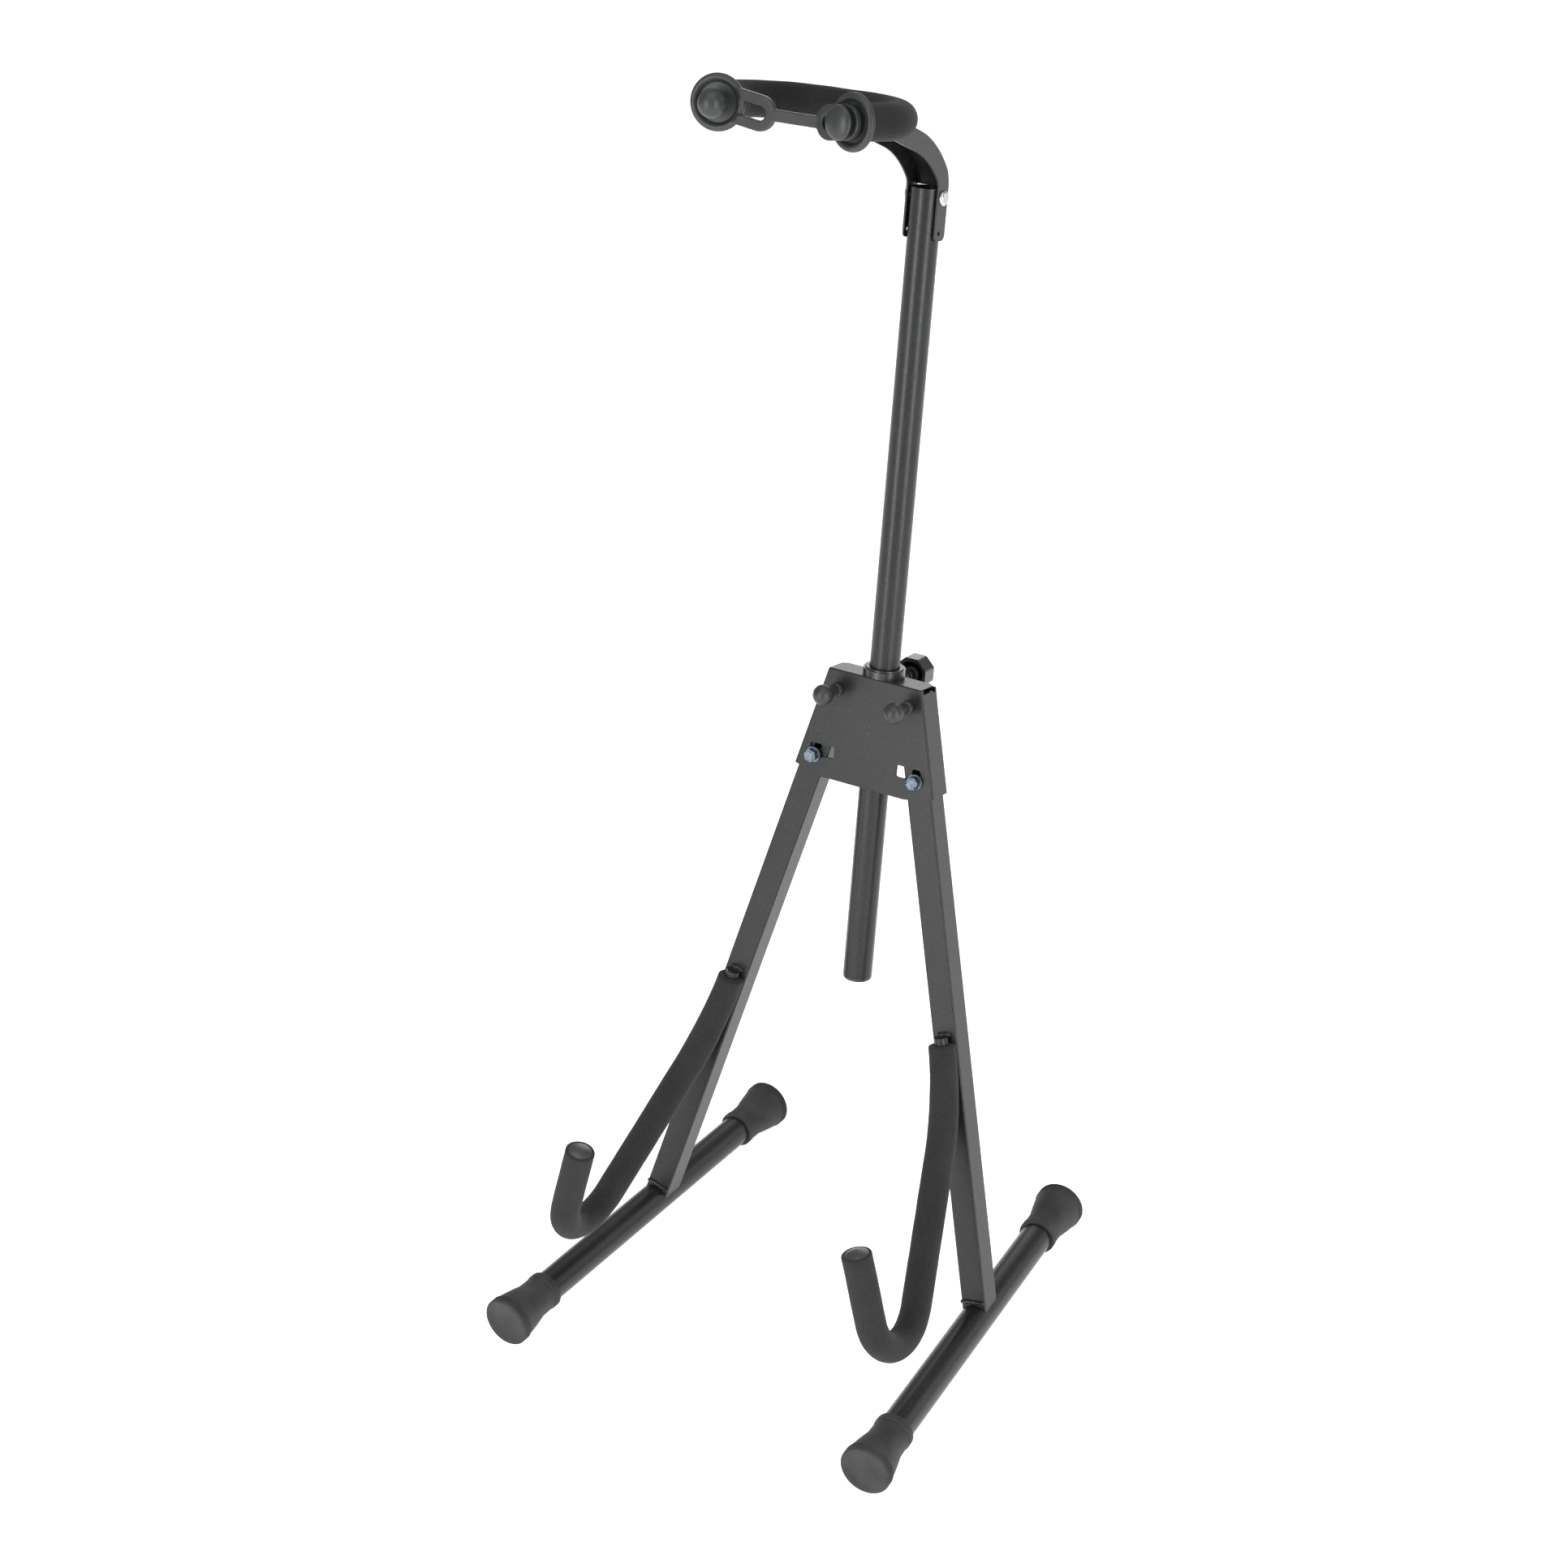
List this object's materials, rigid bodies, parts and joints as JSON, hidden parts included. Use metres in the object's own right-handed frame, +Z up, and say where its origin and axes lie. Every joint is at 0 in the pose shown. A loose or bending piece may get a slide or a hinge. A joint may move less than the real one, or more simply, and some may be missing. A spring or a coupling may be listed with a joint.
{
  "type": "guitar stand",
  "caption": "Folding floor stand with splayed legs, padded lower cradle hooks, a height-adjustable mast and a padded neck yoke with a rubber security strap.",
  "frame": {"origin": "on the floor, in the middle of the four foot caps", "axes": "+Z up, -Y to the front where the instrument stands, +X to the right seen from behind the stand's front face, left and right as a person facing the front sees them"},
  "size_m": [0.3166, 0.3198, 0.8489],
  "materials": {
    "powder_black": "satin powder coat with a fine speckle",
    "foam_black": "matte closed-cell foam sleeve",
    "rubber_black": "satin moulded rubber",
    "zinc_steel": "bright zinc plate",
    "bright_steel": "polished rivet",
    "dark_steel": "blackened steel",
    "plastic_black": "semi-gloss moulded plastic"
  },
  "bodies": {
    "head": {"front_housing": "powder_black", "rear_plate": "powder_black", "lower_guide": "powder_black", "collar_bush": "plastic_black", "clamp_boss": "powder_black", "pivot_stud_left": "dark_steel", "pivot_stud_right": "dark_steel", "pivot_nut_left": "dark_steel", "pivot_nut_right": "dark_steel", "ball_bumper_left": "rubber_black", "ball_bumper_right": "rubber_black"},
    "leg_right": {"leg_tube_right": "powder_black", "foot_tube_right": "powder_black", "foot_cap_front_right": "rubber_black", "foot_cap_rear_right": "rubber_black", "cradle_rod_right": "powder_black", "cradle_foam_right": "foam_black", "cradle_tip_right": "plastic_black", "foot_weld_right": "powder_black", "arm_weld_right": "powder_black"},
    "leg_left": {"leg_tube_left": "powder_black", "foot_tube_left": "powder_black", "foot_cap_front_left": "rubber_black", "foot_cap_rear_left": "rubber_black", "cradle_rod_left": "powder_black", "cradle_foam_left": "foam_black", "cradle_tip_left": "plastic_black", "foot_weld_left": "powder_black", "arm_weld_left": "powder_black"},
    "lock_right": {"lock_bolt_right": "zinc_steel", "lock_washer_right": "zinc_steel", "lock_nut_right": "zinc_steel"},
    "lock_left": {"lock_bolt_left": "zinc_steel", "lock_washer_left": "zinc_steel", "lock_nut_left": "zinc_steel"},
    "mast": {"upright_tube": "powder_black", "upright_plug": "plastic_black"},
    "yoke": {"yoke_bracket": "powder_black", "yoke_rivet": "bright_steel", "yoke_rod": "powder_black", "yoke_foam": "foam_black", "yoke_cap_right": "rubber_black", "security_strap": "rubber_black"},
    "pad": {"clamp_pad": "plastic_black"},
    "screw": {"clamp_screw": "dark_steel", "clamp_knob": "plastic_black"}
  },
  "joints": [
    {"name": "leg_fold_right", "type": "hinge", "parent": "head", "child": "leg_right", "pos_m": [0.0265, 0.09825, 0.42196], "axis": [0, 0.9813, -0.1925], "range_deg": [0, 11.4]},
    {"name": "leg_fold_left", "type": "hinge", "parent": "head", "child": "leg_left", "pos_m": [-0.0265, 0.09825, 0.42196], "axis": [0, -0.9813, 0.1925], "range_deg": [0, 11.4]},
    {"name": "lock_lift_right", "type": "slide", "parent": "leg_right", "child": "lock_right", "axis": [-0.247, 0.1866, 0.9509], "range_m": [0, 0.005]},
    {"name": "lock_lift_left", "type": "slide", "parent": "leg_left", "child": "lock_left", "axis": [0.247, 0.1866, 0.9509], "range_m": [0, 0.005]},
    {"name": "mast_height", "type": "slide", "parent": "head", "child": "mast", "axis": [0, 0.1357, 0.9907], "range_m": [-0.09, 0.12]},
    {"name": "yoke_fold", "type": "hinge", "parent": "mast", "child": "yoke", "pos_m": [0, 0.14556, 0.74538], "axis": [1, 0, 0], "range_deg": [0, 75]},
    {"name": "clamp_travel", "type": "slide", "parent": "head", "child": "pad", "axis": [0, 0.9907, -0.1357], "range_m": [0, 0.002]},
    {"name": "clamp_turn", "type": "hinge", "parent": "pad", "child": "screw", "pos_m": [0, 0.13937, 0.42021], "axis": [0, 0.9907, -0.1357], "range_deg": [0, 720]}
  ],
  "couplings": [
    {"joint": "lock_lift_right", "follows": "leg_fold_right", "m_per_rad": 0.025127},
    {"joint": "lock_lift_left", "follows": "leg_fold_left", "m_per_rad": 0.025127},
    {"joint": "clamp_travel", "follows": "clamp_turn", "m_per_rad": 0.00015914}
  ]
}
